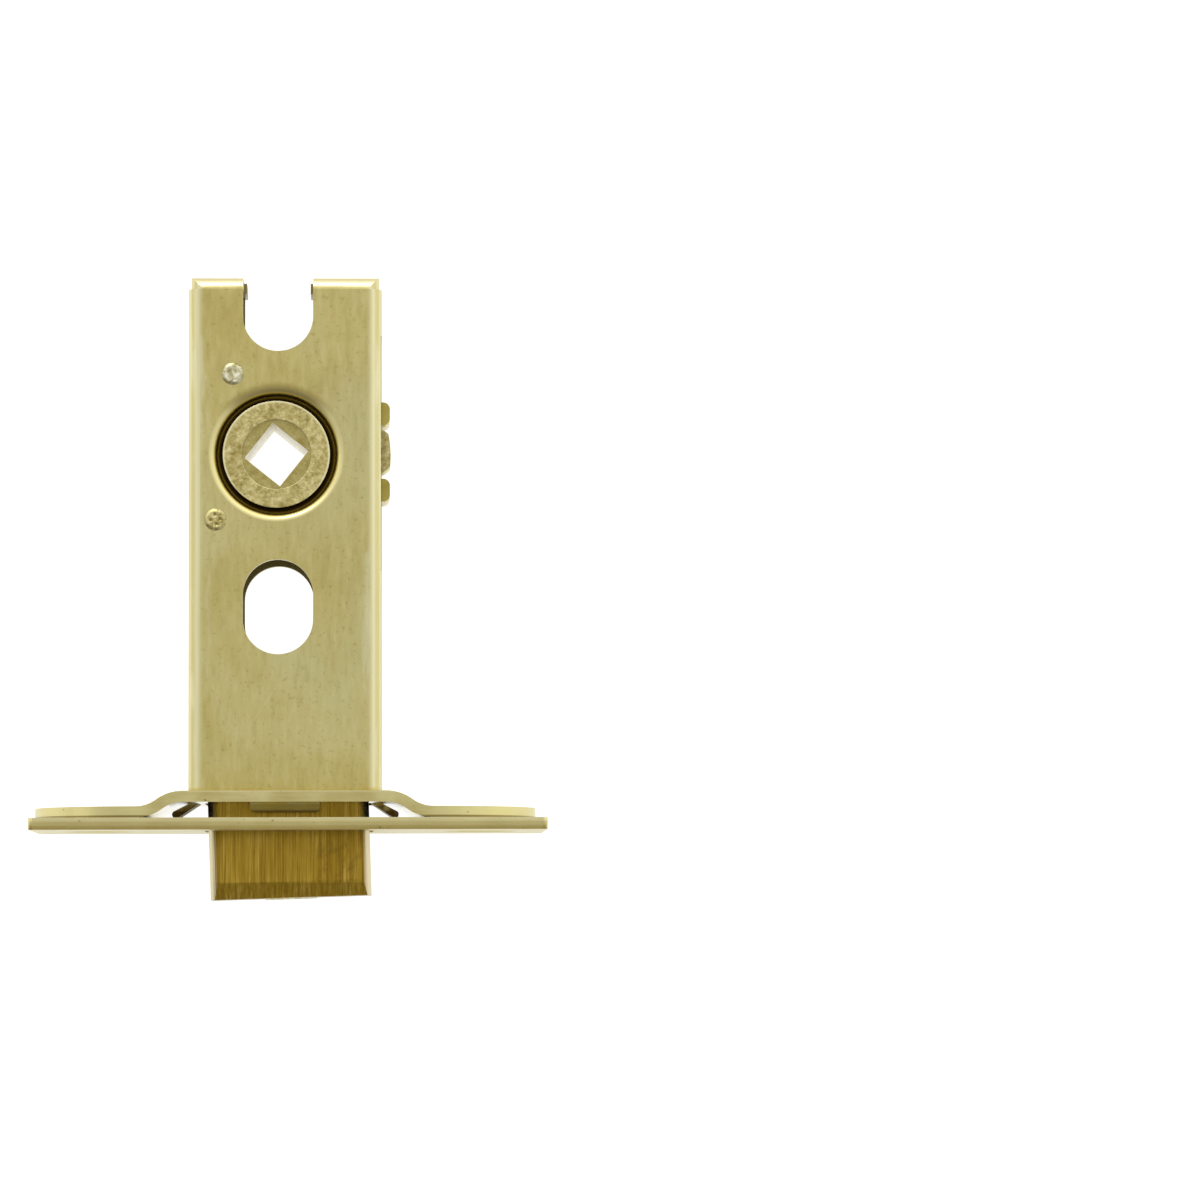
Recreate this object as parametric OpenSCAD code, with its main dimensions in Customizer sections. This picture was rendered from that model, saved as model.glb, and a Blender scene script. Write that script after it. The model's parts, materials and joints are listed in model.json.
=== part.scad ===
// Tubular bathroom deadbolt, shown with its bolt half thrown.
// X runs along the forends, Y goes back into the door and Z lies along the spindle.
// The origin is the middle of the outer forend's face. All sizes are in millimetres.

/* [Forends] */
// Length of the outer forend
outer_l = 60; // [56:0.5:80]
// Width of both forends
forend_w = 25; // [22:0.5:30]
// Thickness of the outer forend
outer_t = 1.4; // [1.2:0.1:2.5]
// Corner radius of the outer forend
outer_corner_r = 0.5; // [0.2:0.1:4]
// How much shorter the inner forend is at each end
inner_short = 0.6; // [0:0.1:1.5]
// Thickness of the inner forend
inner_t = 1.3; // [1:0.1:2]
// Height of the inner forend's raised middle
inner_rise = 1.8; // [1.4:0.1:2.5]
// Flat of the raised middle beyond each side of the case
raised_margin = 0.4; // [0.3:0.1:1.5]
// Length of each S-bend beside the raised middle
joggle_l = 5.5; // [4:0.1:6.5]
// Room around the bolt in both forends
aperture_play = 0.45; // [0.4:0.05:0.6]

/* [Forend screws] */
// From the middle of each screw hole to the end of the outer forend
screw_margin = 7.65; // [7:0.05:8.4]
// Screw hole in the outer forend
screw_d = 5; // [3.5:0.1:5.5]
// Widest part of the countersink
sink_d = 8.8; // [8:0.1:10]
// Depth of the countersink's cone
sink_depth = 0.9; // [0.5:0.1:1]
// Screw hole in the inner forend
inner_screw_d = 5.8; // [5.6:0.1:6.4]

/* [Case] */
// Distance from the forend's face to the spindle
backset = 44; // [42:0.5:80]
// Distance from the spindle to the rear of the case
rear_reach = 20.8; // [20.2:0.2:30]
// How far the case sits off the middle of the forend
case_shift = -0.45; // [-0.8:0.05:0]
// Sheet steel of the case
sheet_t = 1.2; // [0.8:0.1:1.4]
// Inside radius of the folds
fold_inner_r = 0.3; // [0.1:0.05:0.8]
// How far the side walls stop short of the rear
corner_relief = 1.4; // [1.35:0.05:2.4]
// How far the rear flange's ends stay inside the side walls' faces
rear_inset = 0.3; // [0.1:0.1:0.6]
// Length of the staking tabs along the side walls
tab_l = 3.4; // [2:0.1:4]
// Place of the front tabs behind the inner forend
front_tab_y = 9; // [5:0.5:20]

/* [Staked tongues] */
// Width of the tongues on the two cheeks
cheek_tongue_w = 8.1; // [5:0.1:10]
// How far the cheek tongues stand out of the inner forend
cheek_tongue_out = 1.05; // [0.5:0.05:1.3]
// Width of the tongues on the side walls
side_tongue_w = 7; // [4:0.1:9]
// How far the side tongues are splayed outwards
splay = 1.95; // [1.6:0.05:2.2]
// Gap between the splayed tongues and the outer forend
splay_gap = 0.1; // [0.05:0.05:0.2]
// Thickness of the splayed tongues at their round ends
splay_t = 0.9; // [0.5:0.05:1]
// Corner radius of the cheek tongues
tongue_r = 0.6; // [0.2:0.1:0.9]
// Room around each tongue in its slot
tongue_play = 0.1; // [0.05:0.05:0.2]

/* [Fixing slots] */
// Width of the two slots for through fixings
slot_w = 8.2; // [6:0.1:8.4]
// Length of the oblong slot
slot_l = 11.1; // [9:0.1:12]
// From the spindle forward to the middle of the oblong slot
slot_forward = 17.9; // [17.4:0.1:18.4]
// From the spindle back to the round end's centre of the open slot
slot_back = 16.2; // [15:0.1:17]
// How far the slots sit off the middle of the case
slot_shift = -0.85; // [-1:0.05:0]
// Width of the cut in the rear flange
flange_cut_w = 7.5; // [6:0.1:8.2]

/* [Hub] */
// How far the spindle sits off the middle of the case
hub_shift = -1.05; // [-1.5:0.05:-0.9]
// Square hole for the spindle
spindle_w = 5.3; // [4:0.1:5.7]
// Turn of the square hole from a true diamond
spindle_turn = 6.4; // [0:0.1:10]
// Turn of the drive arm from square to the bolt
arm_turn = 3; // [0:0.1:3.5]
// Collar seen through the case
collar_d = 12.55; // [10:0.05:13]
// How far the collar stays below the case's face
collar_drop = 0.5; // [0.1:0.1:0.9]
// Shallow recess around the square hole
recess_d = 8.2; // [7.6:0.1:9.4]
// Depth of that recess
recess_depth = 0.3; // [0.1:0.1:0.6]
// Running clearance of the hub's journals
hub_clearance = 0.07; // [0.03:0.01:0.1]
// Play of the hub between the two lips, at each end
hub_end_play = 0.15; // [0.05:0.05:0.3]
// Thickness of the flanges under the lips
flange_t = 0.55; // [0.4:0.05:0.7]
// How far the flanges reach under the lips
flange_lap = 0.3; // [0.2:0.05:0.4]
// Length of each journal inside its lip
journal_l = 0.7; // [0.5:0.1:1]
// Radius of the cam between the flanges
cam_r = 6; // [5.6:0.1:6.1]
// Distance from the spindle to the cam's two detent flats
flat_r = 4.95; // [4.6:0.05:5.2]
// Reach of the drive arm from the spindle
arm_reach = 13.4; // [13:0.1:13.8]
// Distance from the spindle to the middle of the arm's round tip
arm_pitch = 11.2; // [11:0.05:11.3]
// Width of the arm's round tip
arm_w = 5.65; // [5:0.05:5.7]
// Width of the arm's neck
arm_neck_w = 3; // [2.4:0.1:3.2]
// Thickness of the arm
arm_t = 5; // [4:0.1:5.2]
// Width of the arm's root on the cam
arm_root_w = 8.4; // [6:0.1:9]
// Distance from the spindle to where the root starts to narrow
arm_root_x = 4; // [3:0.1:4.6]
// Distance from the spindle to where the root has narrowed to the neck
arm_neck_x = 7.2; // [6.2:0.1:7.4]

/* [Hub holes in the case] */
// Gap all round between the collar and the hole drawn inwards in each cheek
collar_room = 0.725; // [0.425:0.025:0.925]
// Wall of the drawn lip
lip_wall = 1; // [0.7:0.1:1.1]
// Depth of the lip from the case's face
lip_depth = 2.4; // [2.2:0.1:2.5]
// Rounding where the cheek turns into the lip
lip_round = 0.9; // [0.3:0.1:0.95]

/* [Bolt] */
// Width of the bolt
bolt_w = 18.8; // [18.4:0.1:21]
// Thickness of the bolt
bolt_t = 10.8; // [10:0.1:12]
// Distance the bolt stands out of the forend at rest
bolt_out = 7.8; // [7.4:0.1:9]
// Length of the brass head
head_l = 20.4; // [18:0.1:20.8]
// Rounding of the head's long edges
head_edge_r = 1.25; // [0.3:0.05:1.8]
// Length of the chamfer at the nose
nose_chamfer = 1.9; // [0.5:0.1:2.4]
// Drop of that chamfer
nose_drop = 0.25; // [0.1:0.05:1.5]
// Lean of the head within its play
head_lean = 1.8; // [0:0.1:1.8]
// Side play between the bolt and the case's walls
side_play = 0.7; // [0.6:0.05:1]
// Play between the bolt and the case's cheeks
face_play = 0.2; // [0.1:0.05:0.3]
// Travel from rest to fully thrown
travel_out = 8; // [6:0.1:8.2]
// Travel from rest to fully withdrawn
travel_in = 7.3; // [6:0.1:7.6]
// Stud through the head
stud_d = 6.6; // [5:0.1:7.5]
// Height of the peened end above the bolt's face
stud_proud = 0.15; // [0.05:0.05:0.3]

/* [Bolt tail] */
// Steel of the tail
tail_t = 2.5; // [2:0.1:2.6]
// Reach of the cross plate to the far side of the stud
cross_reach = 3.9; // [3.4:0.1:6]
// Width of each prong
prong_w = 2.7; // [2:0.1:3]
// Gap between the prongs
fork_gap = 6.3; // [6.2:0.05:6.5]
// How far the fork's middle lies behind the spindle
fork_shift = 0.5; // [0.4:0.05:0.6]
// Reach of the prongs from the spindle
prong_reach = 13.3; // [12:0.1:13.8]
// Rounding of the prongs' outer corners
prong_r = 0.8; // [0.2:0.1:1.2]
// Clearance between the tail and what it slides past
tail_clearance = 0.35; // [0.25:0.05:0.5]
// Height of the window's edge above the start of the fold
window_lift = 0.6; // [0.2:0.1:0.9]

/* [Detent spring and pins] */
// Sideways place of the upper pin from the spindle
upper_pin_x = -5.1; // [-5.6:0.1:-4.8]
// How far the upper pin lies behind the rim of the hub's hole
upper_pin_back = 2.4; // [2:0.1:3]
// Sideways place of the lower pin from the spindle
lower_pin_x = -7.1; // [-7.2:0.1:-6.8]
// How far the lower pin lies in front of the rim of the hub's hole
lower_pin_front = 0.7; // [0.5:0.1:1.4]
// Riveted ends of the pins
rivet_d = 2.55; // [2:0.05:2.8]
// Height of the peened rivet heads
rivet_proud = 0.15; // [0.05:0.05:0.3]
// Body of the pins between the cheeks
pin_d = 3.4; // [3:0.1:3.6]
// Thickness of the leaf spring
leaf_t = 0.5; // [0.3:0.05:0.6]
// Width of the leaf spring
leaf_w = 7; // [5:0.1:7.2]
// How far the leaf reaches past each pin
leaf_over = 1.6; // [1:0.1:2]
// How far the hub's cam bows the leaf
leaf_bow = 2.5; // [2.4:0.05:2.7]

/* [Hidden] */

$fn = 72;

// Length by which a cutting solid runs past the faces it cuts
over = 1;
// Gap between fixed pieces that are pushed together
fit_gap = 0.02;
// Points along one arc of a joggle, and along the leaf
bend_steps = 10;
leaf_steps = 24;
// Run of a peened edge for each millimetre of its height
peen_run = 2;

// The case follows from the bolt, its play and the sheet
case_w = bolt_w + 2 * (side_play + sheet_t);
case_t = bolt_t + 2 * (face_play + sheet_t);
half_w = case_w / 2;
half_t = case_t / 2;
screw_x = outer_l / 2 - screw_margin;
inner_l = outer_l - 2 * inner_short;
cheek_z = half_t - sheet_t;
wall_x = half_w - sheet_t;
fold_r = fold_inner_r + sheet_t;
rear_y = backset + rear_reach;
wall_rear_y = rear_y - corner_relief;

// Levels of the two forends along Y
inner_back_y = outer_t + inner_t;
raised_front_y = outer_t + inner_rise;
case_front_y = raised_front_y + inner_t;
raised_half_l = half_w + raised_margin;
raised_mid_y = raised_front_y + inner_t / 2;
flat_mid_y = outer_t + inner_t / 2;

// Turn and mid-line radius of the two equal arcs of each S-bend
joggle_turn = 2 * atan(inner_rise / joggle_l);
joggle_r = joggle_l / (2 * sin(joggle_turn));

// The hub and its place
hub_x = case_shift + hub_shift;
hub_hole_r = collar_d / 2 + collar_room;
lip_z = half_t - lip_depth;
flange_z = lip_z - hub_end_play;
flange_r = hub_hole_r + flange_lap;
journal_r = hub_hole_r - hub_clearance;
journal_z = flange_z + journal_l;
collar_z = half_t - collar_drop;
cam_z = flange_z - flange_t;

// The tail passes between the far lip and the arm
tail_z = tail_clearance - lip_z;
arm_z = tail_z + tail_t + tail_clearance;
arm_top_z = arm_z + arm_t;
bar_in_x = hub_x + flange_r + tail_clearance;
bar_out_x = case_shift + wall_x - tail_clearance;
prong_out_x = hub_x + prong_reach;
fork_y = backset + fork_shift;
head_rear_y = head_l - bolt_out;
cross_half_z = -tail_z;

// The window lets the prongs travel
fork_half = fork_gap / 2 + prong_w;
window_y0 = fork_y - fork_half - travel_out - tail_clearance;
window_y1 = fork_y + fork_half + travel_in + tail_clearance;
window_top_z = half_t - fold_r + window_lift;

// Staking tabs of the side walls, front and rear
tab_ys = [case_front_y + front_tab_y, (window_y1 + wall_rear_y) / 2];

// The pins keep clear of the lips around the hub's holes
upper_pin_y = hub_hole_r + upper_pin_back;
lower_pin_y = -hub_hole_r - lower_pin_front;

// Ends of the leaf, on the hub side of each pin
leaf_y0 = backset + lower_pin_y;
leaf_y1 = backset + upper_pin_y;
leaf_chord = (upper_pin_x - lower_pin_x) / (leaf_y1 - leaf_y0);
leaf_lean = 4 * leaf_bow / (leaf_y1 - leaf_y0);
pin_reach = pin_d / 2 + 2 * fit_gap;
leaf_x0 = hub_x + lower_pin_x + pin_reach * norm([1, leaf_chord - leaf_lean]);
leaf_x1 = hub_x + upper_pin_x + pin_reach * norm([1, leaf_chord + leaf_lean]);

// Fractions of the way between the pins at which the leaf's outline has points
leaf_t0 = -leaf_over / (leaf_y1 - leaf_y0);
leaf_t1 = 1 - leaf_t0;
leaf_ts = [for (i = [0 : leaf_steps]) leaf_t0 + (leaf_t1 - leaf_t0) * i / leaf_steps];

// A rectangle about the origin with round corners
module round_rect(w, h, r) {
    square([w - 2 * r, h], center = true);
    square([w, h - 2 * r], center = true);
    for (sx = [-1, 1])
        for (sy = [-1, 1])
            translate([sx * (w / 2 - r), sy * (h / 2 - r)]) circle(r = r);
}

// Stands an outline drawn in X and Z up along Y, from y0 to y1
module along_y(y0, y1) {
    translate([0, y1, 0]) rotate([90, 0, 0]) linear_extrude(y1 - y0) children();
}

// An outline drawn in X and Y, from z0 up to z1
module along_z(z0, z1) {
    translate([0, 0, z0]) linear_extrude(z1 - z0) children();
}

// The oblong slot and the open slot, seen along Z
module fixing_slots() {
    x = case_shift + slot_shift;
    translate([x, backset - slot_forward]) {
        square([slot_w, slot_l - slot_w], center = true);
        for (s = [-1, 1]) translate([0, s * (slot_l - slot_w) / 2]) circle(d = slot_w);
    }
    translate([x, backset + slot_back]) {
        circle(d = slot_w);
        translate([-slot_w / 2, 0]) square([slot_w, rear_reach]);
    }
}

// The cut that the open slot makes in the rear flange
module flange_cut() {
    translate([case_shift + slot_shift - flange_cut_w / 2, backset + slot_back])
        square([flange_cut_w, rear_reach]);
}

// One drawn lip around the hub, on the cheek that faces +Z
module hub_lip() {
    translate([hub_x, backset, 0])
        rotate_extrude()
            difference() {
                translate([hub_hole_r, lip_z]) square([lip_wall + lip_round, lip_depth]);
                translate([hub_hole_r + lip_wall, lip_z - over])
                    square([lip_round + over, cheek_z - lip_z + over]);
                difference() {
                    translate([hub_hole_r - over, half_t - lip_round])
                        square([lip_round + over, lip_round + over]);
                    translate([hub_hole_r + lip_round, half_t - lip_round])
                        circle(r = lip_round);
                }
            }
}

// The round cut that a lip fills again
module hub_hole_cut() {
    translate([hub_x, backset]) circle(r = hub_hole_r + lip_wall + lip_round / 2);
}

// Holes for the riveted ends of both pins
module rivet_holes() {
    for (p = [[upper_pin_x, upper_pin_y], [lower_pin_x, lower_pin_y]])
        translate([hub_x + p[0], backset + p[1]]) circle(d = rivet_d + 2 * fit_gap);
}

// One tongue of a cheek, from inside the case out through the inner forend
module cheek_tongue(z0, z1) {
    y0 = raised_front_y - cheek_tongue_out;
    length = case_front_y - y0 + sheet_t;
    along_z(z0, z1)
        translate([case_shift, y0 + length / 2])
            difference() {
                round_rect(cheek_tongue_w, length, tongue_r);
                translate([0, length / 2]) square([cheek_tongue_w + over, sheet_t], center = true);
            }
}

// One side wall's tongue, bent outwards over the raised middle, for the wall at +X
module side_tongue() {
    nose_x = half_w + splay - splay_t / 2;
    nose_y = outer_t + splay_gap + splay_t / 2;
    inner_turn = atan2(nose_x - wall_x, raised_front_y - nose_y);
    outer_turn = atan2(nose_x - half_w, raised_front_y - nose_y);
    along_z(-side_tongue_w / 2, side_tongue_w / 2) {
        translate([nose_x, nose_y]) circle(d = splay_t);
        polygon([
            [wall_x, case_front_y],
            [wall_x, raised_front_y],
            [nose_x - splay_t / 2 * cos(inner_turn), nose_y - splay_t / 2 * sin(inner_turn)],
            [nose_x + splay_t / 2 * cos(outer_turn), nose_y + splay_t / 2 * sin(outer_turn)],
            [half_w, raised_front_y],
            [half_w, case_front_y]
        ]);
    }
}

// Section of the folded channel across its length, open towards -Z
module channel_section() {
    difference() {
        union() {
            translate([-half_w, -cheek_z]) square([case_w, half_t - fold_r + cheek_z]);
            translate([-half_w + fold_r, -cheek_z]) square([case_w - 2 * fold_r, half_t + cheek_z]);
            for (s = [-1, 1]) translate([s * (half_w - fold_r), half_t - fold_r]) circle(r = fold_r);
        }
        translate([-wall_x, -half_t]) square([2 * wall_x, half_t + cheek_z - fold_inner_r]);
        translate([-wall_x + fold_inner_r, -half_t])
            square([2 * (wall_x - fold_inner_r), half_t + cheek_z]);
        for (s = [-1, 1])
            translate([s * (wall_x - fold_inner_r), cheek_z - fold_inner_r])
                circle(r = fold_inner_r);
    }
}

// Section of the rear fold in Y and Z, with the cheek's last stretch
module rear_section() {
    fold_y = rear_y - fold_r;
    difference() {
        union() {
            translate([wall_rear_y - over, cheek_z])
                square([fold_y - wall_rear_y + over, sheet_t]);
            translate([rear_y - sheet_t, -half_t]) square([sheet_t, case_t - fold_r]);
            translate([fold_y, half_t - fold_r]) circle(r = fold_r);
        }
        translate([fold_y - fold_r, -half_t])
            square([fold_r + fold_inner_r, half_t + cheek_z - fold_inner_r]);
        translate([fold_y - fold_r, -half_t]) square([fold_r, half_t + cheek_z]);
        translate([fold_y, cheek_z - fold_inner_r]) circle(r = fold_inner_r);
    }
}

// Outside of the channel across its length, filled, a little narrower than the side walls
module rear_outline() {
    w = case_w - 2 * rear_inset;
    translate([-w / 2, -half_t]) square([w, case_t - fold_r]);
    translate([-w / 2 + fold_r, 0]) square([w - 2 * fold_r, half_t]);
    for (s = [-1, 1]) translate([s * (w / 2 - fold_r), half_t - fold_r]) circle(r = fold_r);
}

// Case channel: the near cheek, both side walls, the rear flange and three tongues, one folded sheet
module case_channel() {
    color([0.73, 0.67, 0.43]) {
        difference() {
            union() {
                translate([case_shift, 0, 0])
                    along_y(case_front_y, wall_rear_y) channel_section();
                translate([case_shift, 0, 0])
                    intersection() {
                        rotate([90, 0, 90])
                            linear_extrude(case_w, center = true) rear_section();
                        along_y(wall_rear_y - over, rear_y) rear_outline();
                    }
            }
            along_z(0, half_t + over) fixing_slots();
            along_z(-half_t - over, half_t + over) flange_cut();
            along_z(0, half_t + over) hub_hole_cut();
            along_z(0, half_t + over) rivet_holes();
            // the window for the arm and the prongs, open down to the cover
            translate([case_shift, window_y0, -half_t - over])
                cube([half_w + over, window_y1 - window_y0, half_t + over + window_top_z]);
        }
        hub_lip();
        cheek_tongue(cheek_z, half_t);
        translate([case_shift, 0, 0])
            for (s = [0, 1]) mirror([s, 0, 0]) {
                side_tongue();
                for (y = tab_ys)
                    translate([wall_x, y - tab_l / 2, -half_t]) cube([sheet_t, tab_l, sheet_t]);
            }
    }
}

// Case cover: the far cheek, staked between the tabs and behind the rear flange
module case_cover() {
    cover_rear_y = rear_y - sheet_t - fit_gap;
    color([0.7, 0.64, 0.42]) {
        difference() {
            translate([case_shift - half_w, case_front_y, -half_t])
                cube([case_w, cover_rear_y - case_front_y, sheet_t]);
            along_z(-half_t - over, 0) fixing_slots();
            along_z(-half_t - over, 0) flange_cut();
            along_z(-half_t - over, 0) hub_hole_cut();
            along_z(-half_t - over, 0) rivet_holes();
            for (s = [-1, 1])
                for (y = tab_ys)
                    translate([case_shift + s * half_w, y, -half_t])
                        cube([2 * (sheet_t + fit_gap), tab_l + 2 * fit_gap, 2 * (sheet_t + over)],
                            center = true);
        }
        mirror([0, 0, 1]) hub_lip();
        cheek_tongue(-half_t, -cheek_z);
    }
}

// Points along one S-bend from the raised middle outwards, on arcs of the two given radii
function joggle_points(r_first, r_second) = concat(
    [for (i = [0 : bend_steps]) let (a = joggle_turn * i / bend_steps)
        [raised_half_l + r_first * sin(a), raised_mid_y - joggle_r + r_first * cos(a)]],
    [for (i = [bend_steps : -1 : 0]) let (a = joggle_turn * i / bend_steps)
        [raised_half_l + joggle_l - r_second * sin(a), flat_mid_y + joggle_r - r_second * cos(a)]]
);

// The same points on the other side of the middle, in the opposite order
function mirrored(points) = [for (i = [len(points) - 1 : -1 : 0]) [-points[i][0], points[i][1]]];

// Outline of the inner forend seen along its width, raised in the middle
module joggled_strip() {
    back = joggle_points(joggle_r + inner_t / 2, joggle_r - inner_t / 2);
    front = joggle_points(joggle_r - inner_t / 2, joggle_r + inner_t / 2);
    end_x = inner_l / 2;
    polygon(concat(
        mirrored(back), back, [[end_x, inner_back_y], [end_x, outer_t]],
        [for (i = [len(front) - 1 : -1 : 0]) front[i]],
        [for (p = front) [-p[0], p[1]]],
        [[-end_x, outer_t], [-end_x, inner_back_y]]
    ));
}

// The hole that the bolt slides through, in X and Z
module bolt_aperture() {
    round_rect(bolt_w + 2 * aperture_play, bolt_t + 2 * face_play, head_edge_r);
}

// Inner forend: joggled strip with full-round ends
module inner_forend() {
    color([0.75, 0.7, 0.46])
        difference() {
            intersection() {
                translate([case_shift, 0, -forend_w / 2])
                    linear_extrude(forend_w) joggled_strip();
                translate([case_shift, 0, 0])
                    along_y(0, case_front_y + over)
                        round_rect(inner_l, forend_w, forend_w / 2 - fit_gap);
            }
            along_y(-over, case_front_y + over) {
                bolt_aperture();
                // slots for the tongues of the cheeks
                translate([case_shift, 0])
                    square([cheek_tongue_w + 2 * tongue_play, case_t + 2 * tongue_play],
                        center = true);
                // slots for the tongues of the side walls
                for (s = [-1, 1])
                    translate([case_shift + s * (half_w + wall_x) / 2, 0])
                        square([sheet_t + 2 * tongue_play, side_tongue_w + 2 * tongue_play],
                            center = true);
                for (s = [-1, 1])
                    translate([s * screw_x, 0]) circle(d = inner_screw_d);
            }
        }
}

// Outer forend: flat plate with the bolt's hole and two countersunk holes
module outer_forend() {
    color([0.72, 0.66, 0.42])
        difference() {
            along_y(0, outer_t) round_rect(outer_l, forend_w, outer_corner_r);
            along_y(-over, outer_t + over) {
                bolt_aperture();
                for (s = [-1, 1]) translate([s * screw_x, 0]) circle(d = screw_d);
            }
            for (s = [-1, 1])
                translate([s * screw_x, 0, 0])
                    rotate([-90, 0, 0])
                        cylinder(d1 = sink_d, d2 = screw_d, h = sink_depth);
        }
}

// Profile of the head along Y, with the nose chamfered; its two axes are Y and height
module head_profile(height, drop) {
    polygon([
        [-bolt_out + nose_chamfer, -height / 2],
        [head_rear_y, -height / 2],
        [head_rear_y, height / 2],
        [-bolt_out + nose_chamfer, height / 2],
        [-bolt_out, height / 2 - drop],
        [-bolt_out, -height / 2 + drop]
    ]);
}

// Bolt head: brass bar, leaning a little in its play
module bolt_head() {
    color([0.58, 0.48, 0.2])
        rotate(head_lean)
            difference() {
                intersection() {
                    along_y(-bolt_out, head_rear_y) round_rect(bolt_w, bolt_t, head_edge_r);
                    rotate([90, 0, 90])
                        linear_extrude(bolt_w + over, center = true)
                            head_profile(bolt_t, nose_drop);
                }
                along_y(-bolt_out - over, head_rear_y + over) circle(d = stud_d);
            }
}

// Bolt stud: holds the tail against the head, its front end peened over
module bolt_stud() {
    color([0.74, 0.7, 0.5])
        rotate(head_lean)
            translate([0, -bolt_out - stud_proud, 0])
                rotate([-90, 0, 0]) {
                    cylinder(d1 = stud_d - 2 * peen_run * stud_proud, d2 = stud_d - 2 * fit_gap,
                        h = stud_proud);
                    translate([0, 0, stud_proud])
                        cylinder(d = stud_d - 2 * fit_gap, h = head_l - fit_gap);
                }
}

// Bolt tail: cross plate behind the head, bar past the hub and two prongs that face the arm
module bolt_tail() {
    cross_y = head_rear_y + bolt_w / 2 * sin(head_lean) + fit_gap;
    bar_w = bar_out_x - bar_in_x;
    color([0.68, 0.6, 0.32]) {
        translate([-cross_reach, cross_y, -cross_half_z])
            cube([bar_out_x + cross_reach, tail_t, 2 * cross_half_z]);
        translate([bar_in_x, cross_y, tail_z])
            cube([bar_w, fork_y + fork_half - cross_y, tail_t]);
        for (s = [-1, 1])
            translate([bar_in_x, fork_y + s * (fork_gap + prong_w) / 2, 0])
                along_z(tail_z, arm_top_z) {
                    translate([0, -prong_w / 2])
                        square([(prong_out_x - bar_in_x) / 2, prong_w]);
                    translate([(prong_out_x - bar_in_x) / 2, 0])
                        round_rect(prong_out_x - bar_in_x, prong_w, prong_r);
                }
    }
}

// Round cam with one flat for each detent
module cam_outline() {
    difference() {
        circle(r = cam_r);
        for (s = [-1, 1])
            rotate(180 + 45 * s) translate([flat_r, -cam_r]) square(2 * cam_r);
    }
}

// Drive arm, its round tip turned down to the arm's reach
module arm_outline() {
    intersection() {
        translate([arm_pitch, 0]) circle(d = arm_w);
        circle(r = arm_reach);
    }
    translate([0, -arm_neck_w / 2]) square([arm_pitch, arm_neck_w]);
    polygon([
        [arm_root_x, -arm_root_w / 2],
        [arm_neck_x, -arm_neck_w / 2],
        [arm_neck_x, arm_neck_w / 2],
        [arm_root_x, arm_root_w / 2]
    ]);
}

// One end of the hub: flange under the lip, journal inside it and the collar that shows
module hub_end() {
    translate([0, 0, cam_z]) cylinder(r = flange_r, h = flange_t);
    translate([0, 0, flange_z]) cylinder(r = journal_r, h = journal_z - flange_z);
    translate([0, 0, journal_z]) cylinder(d = collar_d, h = collar_z - journal_z);
}

// Hub: journals that run in the two drawn lips, a cam with detent flats and the drive arm
module hub() {
    color([0.75, 0.7, 0.47])
        translate([hub_x, backset, 0])
            difference() {
                union() {
                    rotate(arm_turn) {
                        along_z(-cam_z, cam_z) cam_outline();
                        along_z(arm_z, arm_top_z) arm_outline();
                    }
                    for (s = [0, 1]) mirror([0, 0, s]) hub_end();
                }
                for (s = [0, 1])
                    mirror([0, 0, s])
                        translate([0, 0, collar_z - recess_depth]) cylinder(d = recess_d, h = over);
                rotate(45 + spindle_turn) cube([spindle_w, spindle_w, 2 * case_t], center = true);
            }
}

// Hub side of the leaf at a fraction t of the way from the lower pin to the upper one
function leaf_face_x(t) = leaf_x0 + (leaf_x1 - leaf_x0) * t - leaf_bow * (1 - pow(2 * t - 1, 2));

// Detent spring: leaf bowed by the cam between its two pins
module detent_spring() {
    color([0.55, 0.55, 0.52])
        along_z(-leaf_w / 2, leaf_w / 2)
            polygon(concat(
                [for (t = leaf_ts) [leaf_face_x(t), leaf_y0 + (leaf_y1 - leaf_y0) * t]],
                [for (i = [leaf_steps : -1 : 0]) let (t = leaf_ts[i])
                    [leaf_face_x(t) + leaf_t, leaf_y0 + (leaf_y1 - leaf_y0) * t]]
            ));
}

// Pins: shouldered between the cheeks, riveted over on both faces
module pin(x, y) {
    color([0.75, 0.73, 0.6])
        translate([hub_x + x, backset + y, 0]) {
            cylinder(d = pin_d, h = 2 * (cheek_z - fit_gap), center = true);
            cylinder(d = rivet_d, h = case_t, center = true);
            for (s = [0, 1])
                mirror([0, 0, s])
                    translate([0, 0, half_t])
                        cylinder(d1 = rivet_d, d2 = rivet_d - 2 * peen_run * rivet_proud, h = rivet_proud);
        }
}

module upper_pin() {
    pin(upper_pin_x, upper_pin_y);
}

module lower_pin() {
    pin(lower_pin_x, lower_pin_y);
}

case_channel();
case_cover();
inner_forend();
outer_forend();
bolt_head();
bolt_stud();
bolt_tail();
hub();
detent_spring();
upper_pin();
lower_pin();
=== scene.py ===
# %% [markdown]
# A tubular bathroom deadbolt, dressed for a studio picture
#
# This lock hides in a hole bored into the edge of a door. A folded steel case holds a brass bolt,
# a cast hub turns it, and two forend plates close the hole. The solids come ready made from the
# construction model, so this lesson only does what a picture needs: finishes with some life in
# them, eased edges, a camera that looks straight down, a white table and soft light.
#
# The first cell loads those solids. Lengths are in metres, as in the solids. Names that end in _MM,
# and the pairs of numbers that say where a fade starts and ends, are in millimetres.

# %% Load the lock
import json
import math

import bpy
from mathutils import Matrix, Vector


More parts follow.
